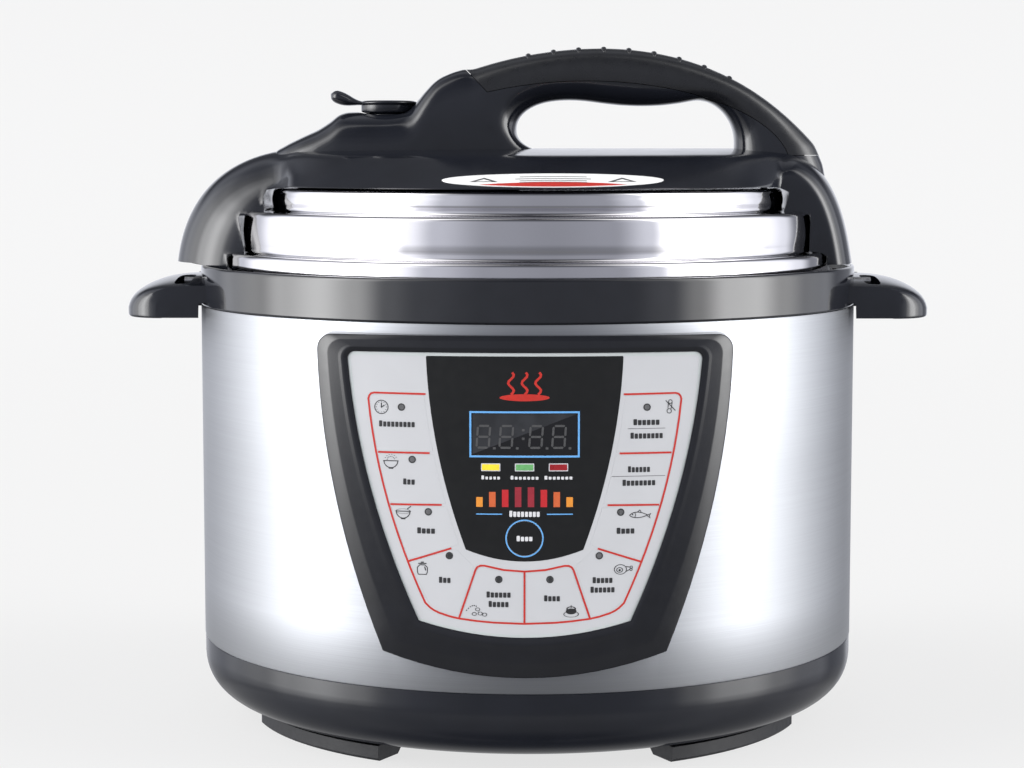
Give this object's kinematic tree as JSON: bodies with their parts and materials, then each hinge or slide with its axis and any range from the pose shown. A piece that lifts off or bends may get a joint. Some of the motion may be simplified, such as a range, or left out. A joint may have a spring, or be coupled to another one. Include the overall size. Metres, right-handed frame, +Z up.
{
  "type": "electric pressure cooker",
  "caption": "Electric pressure cooker with a steel body, bayonet lid under a black bridge cover with a carrying handle, lift-out pot, steam valve, touch panel and side handles.",
  "frame": {"origin": "on the pot's vertical axis at the plane the feet stand on", "axes": "+Z up, +X to the right along the two side handles and the lid handle, -Y towards the control panel"},
  "size_m": [0.354, 0.3016, 0.2909],
  "materials": {
    "black_plastic": "moulded satin",
    "foot_rubber": "matte",
    "screw_steel": "zinc-plated",
    "brushed_steel": "vertical brushed",
    "black_gloss": "high gloss",
    "pot_aluminium": "drawn",
    "cast_aluminium": "turned",
    "heater_sheath": "oxidised",
    "switch_plastic": "moulded",
    "circuit_board": "solder mask",
    "relay_plastic": "moulded",
    "switch_black": "moulded",
    "led_resin": "tinted resin",
    "face_print": "printed film",
    "display_glass": "dark tinted",
    "pin_brass": "plated",
    "clear_plastic": "clear moulded",
    "inner_pot_metal": "satin coated",
    "silicone": "milky silicone",
    "polished_steel": "polished",
    "grip_plastic": "satin gloss",
    "label_film": "printed film",
    "float_red": "moulded",
    "key_film": "printed film",
    "key_dark": "printed film"
  },
  "bodies": {
    "body": {"base_tray": "black_plastic", "feet": "foot_rubber", "base_screws": "screw_steel", "outer_housing": "brushed_steel", "upper_ring": "black_gloss", "side_handle_left": "black_gloss", "side_handle_right": "black_gloss", "side_handle_screws": "screw_steel", "outer_pot": "pot_aluminium", "heating_plate": "cast_aluminium", "heating_element": "heater_sheath", "spring_plate": "screw_steel", "pressure_switch": "switch_plastic", "thermal_fuse": "switch_plastic", "power_board": "circuit_board", "power_relay": "relay_plastic", "control_board": "circuit_board", "display_module": "switch_black", "tact_switches": "switch_black", "indicator_leds": "led_resin", "panel_bezel": "black_gloss", "panel_screws": "screw_steel", "face_plate": "face_print", "display_window": "display_glass", "power_inlet": "black_plastic", "inlet_pins": "pin_brass", "cup_bracket": "black_plastic", "sensor_spring": "screw_steel"},
    "pot": {"inner_pot": "inner_pot_metal"},
    "seal": {"sealing_ring": "silicone", "seal_rack": "screw_steel"},
    "lid": {"lid_shell": "polished_steel", "lid_cover": "black_gloss", "lid_handle": "black_gloss", "handle_grip": "grip_plastic", "lid_screws": "screw_steel", "valve_tube": "screw_steel", "filter_cap": "screw_steel", "safety_label": "label_film"},
    "knob": {"release_knob": "black_gloss", "valve_weight": "screw_steel"},
    "float": {"float_pin": "float_red", "float_seal": "silicone"},
    "sensor": {"sensor_cap": "cast_aluminium"},
    "cup": {"condensation_cup": "clear_plastic"},
    "pad_timer": {"key_timer": "key_film"},
    "pad_rice": {"key_rice": "key_film"},
    "pad_porridge": {"key_porridge": "key_film"},
    "pad_soup": {"key_soup": "key_film"},
    "pad_beans": {"key_beans": "key_film"},
    "pad_cake": {"key_cake": "key_film"},
    "pad_meat": {"key_meat": "key_film"},
    "pad_fish": {"key_fish": "key_film"},
    "pad_pressure": {"key_pressure": "key_film"},
    "pad_warm": {"key_warm": "key_film"},
    "pad_taste": {"key_taste": "key_dark"}
  },
  "joints": [
    {"name": "pot_lift", "type": "slide", "parent": "body", "child": "pot", "axis": [0, 0, 1], "range_m": [0, 0.18]},
    {"name": "lid_lift", "type": "slide", "parent": "pot", "child": "seal", "axis": [0, 0, 1], "range_m": [0, 0.09]},
    {"name": "lid_turn", "type": "hinge", "parent": "seal", "child": "lid", "pos_m": [0, 0, 0.2], "axis": [0, 0, 1], "range_deg": [-30, 0]},
    {"name": "release_knob_turn", "type": "hinge", "parent": "lid", "child": "knob", "pos_m": [-0.061, 0, 0.262], "axis": [0, 0, 1], "range_deg": [0, 50]},
    {"name": "float_rise", "type": "slide", "parent": "lid", "child": "float", "axis": [0, 0, 1], "range_m": [0, 0.005]},
    {"name": "sensor_press", "type": "slide", "parent": "body", "child": "sensor", "axis": [0, 0, 1], "range_m": [-0.003, 0], "stiffness_N_per_m": 300, "springref_m": 0.004, "deforming": ["sensor_spring"]},
    {"name": "cup_pull", "type": "slide", "parent": "body", "child": "cup", "axis": [0, 1, 0], "range_m": [0, 0.03]},
    {"name": "press_timer", "type": "slide", "parent": "body", "child": "pad_timer", "axis": [0, 1, 0], "range_m": [0, 0.0004], "stiffness_N_per_m": 1500, "springref_m": -0.0002},
    {"name": "press_rice", "type": "slide", "parent": "body", "child": "pad_rice", "axis": [0, 1, 0], "range_m": [0, 0.0004], "stiffness_N_per_m": 1500, "springref_m": -0.0002},
    {"name": "press_porridge", "type": "slide", "parent": "body", "child": "pad_porridge", "axis": [0, 1, 0], "range_m": [0, 0.0004], "stiffness_N_per_m": 1500, "springref_m": -0.0002},
    {"name": "press_soup", "type": "slide", "parent": "body", "child": "pad_soup", "axis": [0, 1, 0], "range_m": [0, 0.0004], "stiffness_N_per_m": 1500, "springref_m": -0.0002},
    {"name": "press_beans", "type": "slide", "parent": "body", "child": "pad_beans", "axis": [0, 1, 0], "range_m": [0, 0.0004], "stiffness_N_per_m": 1500, "springref_m": -0.0002},
    {"name": "press_cake", "type": "slide", "parent": "body", "child": "pad_cake", "axis": [0, 1, 0], "range_m": [0, 0.0004], "stiffness_N_per_m": 1500, "springref_m": -0.0002},
    {"name": "press_meat", "type": "slide", "parent": "body", "child": "pad_meat", "axis": [0, 1, 0], "range_m": [0, 0.0004], "stiffness_N_per_m": 1500, "springref_m": -0.0002},
    {"name": "press_fish", "type": "slide", "parent": "body", "child": "pad_fish", "axis": [0, 1, 0], "range_m": [0, 0.0004], "stiffness_N_per_m": 1500, "springref_m": -0.0002},
    {"name": "press_pressure", "type": "slide", "parent": "body", "child": "pad_pressure", "axis": [0, 1, 0], "range_m": [0, 0.0004], "stiffness_N_per_m": 1500, "springref_m": -0.0002},
    {"name": "press_warm", "type": "slide", "parent": "body", "child": "pad_warm", "axis": [0, 1, 0], "range_m": [0, 0.0004], "stiffness_N_per_m": 1500, "springref_m": -0.0002},
    {"name": "press_taste", "type": "slide", "parent": "body", "child": "pad_taste", "axis": [0, 1, 0], "range_m": [0, 0.0004], "stiffness_N_per_m": 1500, "springref_m": -0.0002}
  ]
}
